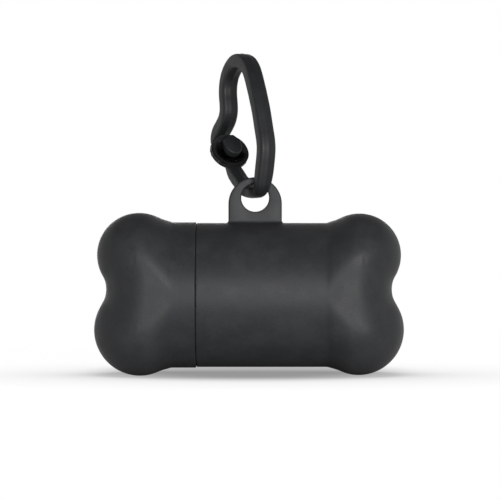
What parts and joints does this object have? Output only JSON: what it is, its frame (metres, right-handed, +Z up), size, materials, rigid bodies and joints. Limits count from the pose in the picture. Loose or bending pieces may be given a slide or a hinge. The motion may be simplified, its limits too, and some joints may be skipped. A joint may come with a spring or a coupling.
{
  "type": "dog poop bag dispenser",
  "caption": "Bone-shaped bag dispenser in dark plastic with a screw-on end cap, a top tab and a moulded snap clip that hangs it from a leash.",
  "frame": {"origin": "inner top of the clip's loop, where the object hangs from a leash or a hook", "axes": "+Z up, X along the bone with the screw cap at -X, and the front faces -Y"},
  "size_m": [0.0852, 0.045, 0.0896],
  "materials": {
    "shell": "charcoal-black polypropylene, satin with a very fine grain",
    "clip": "charcoal-black flexible polypropylene, smooth satin",
    "stub": "grey moulded plastic",
    "card": "plain brown card",
    "film": "thin green film, wound"
  },
  "bodies": {
    "clip": {"clip_strap": "clip"},
    "ring_arm": {"clip_ring_arm": "clip"},
    "case": {"case_body": "shell"},
    "stub": {"roll_stub": "stub"},
    "cap": {"cap_shell": "shell"},
    "roll": {"roll_core": "card", "bag_roll": "film"}
  },
  "joints": [
    {"name": "case_swing", "type": "hinge", "parent": "clip", "child": "case", "pos_m": [0.00407, -0.00914, -0.03655], "axis": [0, 1, 0], "range_deg": [-80, 80]},
    {"name": "clip_snap", "type": "hinge", "parent": "clip", "child": "ring_arm", "pos_m": [0.00041, -0.00091, -0.0322], "axis": [0.9135, 0.4067, 0], "range_deg": [0, 55]},
    {"name": "cap_travel", "type": "slide", "parent": "case", "child": "stub", "axis": [-1, 0, 0], "range_m": [0, 0.0099]},
    {"name": "cap_twist", "type": "hinge", "parent": "stub", "child": "cap", "pos_m": [0.00247, -0.00914, -0.06345], "axis": [-1, 0, 0], "range_deg": [0, 1080.5]},
    {"name": "roll_spin", "type": "hinge", "parent": "case", "child": "roll", "pos_m": [0.00247, -0.00914, -0.06345], "axis": [1, 0, 0], "continuous": true}
  ],
  "couplings": [
    {"joint": "cap_twist", "follows": "cap_travel", "rad_per_m": 1904}
  ]
}
